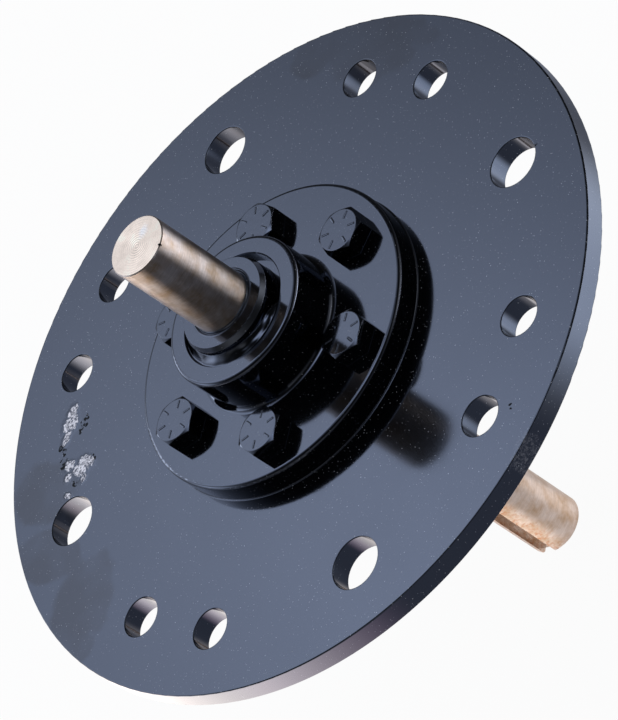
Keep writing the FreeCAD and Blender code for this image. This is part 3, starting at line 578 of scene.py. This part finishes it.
def pooled_paint(steps=720):
    """z = seal face + film + pool (depth + bank + climb + folds + ripples).

    The pool rises smoothly from 0 to 1 at its two ends. The bank is (height - drop) (1 - s) ^ power and the
    climb height exp((s - 1) / share), with s across the recess from 0 to 1. A fold is its height times a
    hump round the recess and one across it. A ripple is its height times sin(count angle + lean s)."""
    angle = np.linspace(0, 360, steps, endpoint=False)[:, None]
    across = np.linspace(0, 1, 40)[None, :]
    from_middle = np.abs((angle - (POOL_FROM + POOL_TO) / 2 + 180) % 360 - 180)
    pool = np.clip((POOL_TO - POOL_FROM) / 2 - from_middle + POOL_SPILL, 0, POOL_TAPER) / POOL_TAPER
    pool = pool * pool * (3 - 2 * pool)
    drop = BANK_DROP * np.clip((angle - BANK_DROP_FROM) / BANK_DROP_OVER, 0, 1)
    bank = (BANK_HEIGHT - drop) * (1 - across) ** BANK_POWER
    climb = BOSS_CLIMB * np.exp(-(1 - across) / BOSS_CLIMB_SHARE)
    folds = sum(high * hump(angle, at, long) * hump(across, far, wide)
                for at, far, long, wide, high in FOLDS)
    ripples = sum(high * np.sin(np.radians(angle * count) + lean * across)
                  for high, count, lean in RIPPLES)
    level = SEAL_FACE + POOL_FILM + pool * (POOL_DEPTH + bank + climb + folds + ripples)
    radius = COLLAR_RADIUS + (BORE_RADIUS + POOL_SUNK - COLLAR_RADIUS) * across + 0 * angle
    under = np.full((steps, 1), SEAL_FACE - POOL_SUNK)
    radius = np.concatenate([radius, radius[:, -1:], radius[:, :1]], axis=1)
    height = np.concatenate([level, under, under], axis=1)
    return turned_ring(radius, height, steps)


paint_on("paint_pooled_in_recess", pooled_paint(), COLLAR_ENAMEL, "disc_and_hub")

# The floor. A sheet of pale card that the shaft's rear end stands on. To the camera it is white with the
# shadow left on it; gloss and metal see a painted glow on it instead, patches of painted light and shade
# that stand in for the panels lighting it unevenly.

FLOOR_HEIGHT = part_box("drive_shaft")[0][2]
FLOOR_HALF = 8.0
CARD = "#E4E5E8"
# The share of the card's brightness that is its own, to the camera.
CARD_WHITE = 0.95
# The painted glow that the card sends to gloss and metal, in patches of painted light and shade: the
# direction from the disc in degrees, how far out, half the length and half the width in metres, and how
# bright.
PAINTED_GLOW_PATCHES = ((150.0, 0.55, 0.45, 0.42, (3.5, 3.1, 2.8)), (-172.0, 0.34, 0.11, 0.17, (0.5, 0.3, 0.4)),
                (-41.0, 1.50, 1.15, 0.80, (6.4, 6.5, 7.0)), (-48.0, 0.355, 0.15, 0.22, (1.1, 1.25, 1.5)),
                (-72.0, 0.38, 0.12, 0.12, (0.3, 0.3, 0.3)), (0.0, 0.0, 0.12, 0.12, (0.72, 0.62, 0.53)),
                (-42.0, 0.05, 0.04, 0.025, (0.45, 0.38, 0.32)), (-165.0, 0.05, 0.04, 0.03, (1.1, 0.95, 0.8)),
                (153.0, 0.09, 0.05, 0.05, (1.1, 1.0, 0.95)))
# Where a patch starts and is whole, in shares of its half length and half width, and the painted glow of
# the card beyond them, a dim painted shade.
PATCH_START, PATCH_WHOLE = 1.15, 0.45
PAINTED_GLOW_DARK = (0.20, 0.22, 0.28)


def pale_card():
    """Matt card. To the camera a share of its light is its own, so that it stays white round the shadow.

    To gloss and metal it glows with painted light and shade: its dim painted glow plus each patch's strength,
    stepped smoothly down at its edge."""
    material = new_material("pale_card_with_painted_glow")
    place = add(material, "TexCoord").outputs["Object"]
    path = add(material, "LightPath")
    diffuse = add(material, "BsdfDiffuse", {"Color": linear(CARD)})
    white = add(material, "Emission", {"Color": (1, 1, 1, 1), "Strength": 1.0})
    seen = add(material, "MixShader", {0: CARD_WHITE, 1: diffuse.outputs[0], 2: white.outputs[0]})
    glow = PAINTED_GLOW_DARK
    for azimuth, far_out, half_length, half_width, strength in PAINTED_GLOW_PATCHES:
        a = math.radians(azimuth)
        centre = (far_out * math.cos(a), far_out * math.sin(a), FLOOR_HEIGHT)
        inside = add(material, "Mapping", {"Vector": place, "Location": centre, "Rotation": (0, 0, a),
                                           "Scale": (half_length, half_width, 1)}, vector_type="TEXTURE")
        far = add(material, "VectorMath", {0: inside.outputs[0]}, operation="LENGTH")
        fall = add(material, "MapRange", {0: far.outputs["Value"], 1: PATCH_START, 2: PATCH_WHOLE},
                   interpolation_type="SMOOTHSTEP")
        glow = add(material, "VectorMath", {0: fall.outputs[0], 1: strength, 2: glow},
                   operation="MULTIPLY_ADD").outputs[0]
    # This glow is painted light and painted shade. Gloss and metal see it on the card, which is no lamp.
    painted_floor_glow = add(material, "Emission", {"Color": glow, "Strength": 1.0})
    in_gloss = add(material, "MixShader", {0: path.outputs["Is Glossy Ray"], 1: diffuse.outputs[0],
                                           2: painted_floor_glow.outputs[0]})
    both = add(material, "MixShader", {0: path.outputs["Is Camera Ray"], 1: in_gloss.outputs[0],
                                       2: seen.outputs[0]})
    add(material, "OutputMaterial", {"Surface": both.outputs[0]})
    return material


mesh = bpy.data.meshes.new("pale_card")
corners = [(x * FLOOR_HALF, y * FLOOR_HALF, FLOOR_HEIGHT) for x, y in ((-1, -1), (1, -1), (1, 1), (-1, 1))]
mesh.from_pydata(corners, [], [(0, 1, 2, 3)])
mesh.materials.append(pale_card())
floor = bpy.data.objects.new("pale_card", mesh)
bpy.context.scene.collection.objects.link(floor)

# The light. Soft panels behind the disc and above it, which the gloss of its face and the walls of its
# holes show, three weaker ones on the camera's side, which the shaft and the edges show, and a dim room.

# Each panel: its azimuth and height and its widths across and up, in degrees, how bright it is, its colour.
PANELS = ((73.0, 42.5, 3.6, 6.0, 1.0, "#DEE9FF"), (79.0, 56.0, 14.0, 14.0, 1.4, "#DEE9FF"),
          (97.0, 34.0, 9.0, 12.0, 1.5, "#DEE9FF"), (118.0, 34.0, 10.0, 14.0, 0.5, "#DEE9FF"),
          (97.0, 6.0, 9.0, 7.0, 3.0, "#DEE9FF"), (132.0, 13.0, 10.0, 9.0, 2.2, "#DEE9FF"),
          (-40.0, 82.0, 9.0, 9.0, 2.5, "#DEE9FF"), (-38.0, 14.0, 15.0, 8.0, 1.0, "#FFFFFF"),
          (-100.0, 12.0, 25.0, 8.0, 0.05, "#FFFFFF"), (-160.0, 14.0, 22.0, 9.0, 0.35, "#FFFFFF"))
ROOM = 0.02
# What only matt surfaces take from the room, so that their colours show as they are.
FILL = 0.5


def soft_panels():
    """The world: a dim room plus, for each panel, brightness exp(-((x / across) ^ 2 + (y / up) ^ 2) / 2)."""
    world = bpy.data.worlds.new("soft_panels")
    bpy.context.scene.world = world
    world.use_nodes = True
    world.node_tree.nodes.clear()
    place = add(world, "TexCoord").outputs["Generated"]
    towards = add(world, "VectorMath", {0: place}, operation="NORMALIZE")
    path = add(world, "LightPath")
    total = add(world, "Math", {0: path.outputs["Is Diffuse Ray"], 1: FILL, 2: ROOM},
                operation="MULTIPLY_ADD").outputs[0]
    for azimuth, height, across, up, strength, colour in PANELS:
        turned = add(world, "Mapping", {"Vector": towards.outputs[0],
                                        "Rotation": (0, -math.radians(height), math.radians(azimuth))},
                     vector_type="TEXTURE")
        widths = (0, 1 / math.radians(across), 1 / math.radians(up))
        off = add(world, "VectorMath", {0: turned.outputs[0], 1: widths}, operation="MULTIPLY")
        square = add(world, "VectorMath", {0: off.outputs[0], 1: off.outputs[0]}, operation="DOT_PRODUCT")
        half = add(world, "Math", {0: square.outputs["Value"], 1: -0.5}, operation="MULTIPLY")
        fall = add(world, "Math", {0: half.outputs[0]}, operation="EXPONENT")
        facing = add(world, "SeparateXYZ", {0: turned.outputs[0]})
        ahead = add(world, "Math", {0: facing.outputs[0], 1: 0.0}, operation="GREATER_THAN")
        seen = add(world, "Math", {0: fall.outputs[0], 1: ahead.outputs[0]}, operation="MULTIPLY")
        light = tuple(strength * c for c in linear(colour)[:3])
        total = add(world, "VectorMath", {0: seen.outputs[0], 1: light, 2: total},
                    operation="MULTIPLY_ADD").outputs[0]
    lit = add(world, "Background", {"Color": total, "Strength": 1.0})
    white = add(world, "Background", {"Color": (1, 1, 1, 1), "Strength": 1.0})
    both = add(world, "MixShader", {0: path.outputs["Is Camera Ray"], 1: lit.outputs[0],
                                    2: white.outputs[0]})
    add(world, "OutputWorld", {"Surface": both.outputs[0]})


soft_panels()
bpy.context.scene.view_settings.view_transform = "Standard"

# The camera. A long lens that looks down on the disc from its front, turned so that the shaft points to
# the upper left. Its place is in metres, and was fitted to the rim, the holes and both ends of the shaft.

CAMERA_PLACE = Vector((-0.42142634, -1.25945504, 1.05767124))
CAMERA_FORWARD = Vector((0.24796806, 0.7406553, -0.62445301))
CAMERA_UP = Vector((0.89889968, 0.06444651, 0.43338899))
# The lens and the width of the film behind it, in millimetres.
LENS = 209.83
FILM_WIDTH = 36.0
lens = bpy.data.cameras.new("long_lens")
lens.lens = LENS
lens.sensor_width = FILM_WIDTH
camera = bpy.data.objects.new("long_lens", lens)
aim = Matrix((CAMERA_FORWARD.cross(CAMERA_UP), CAMERA_UP, -CAMERA_FORWARD)).transposed().to_4x4()
camera.matrix_world = Matrix.Translation(CAMERA_PLACE) @ aim
bpy.context.scene.collection.objects.link(camera)
bpy.context.scene.camera = camera
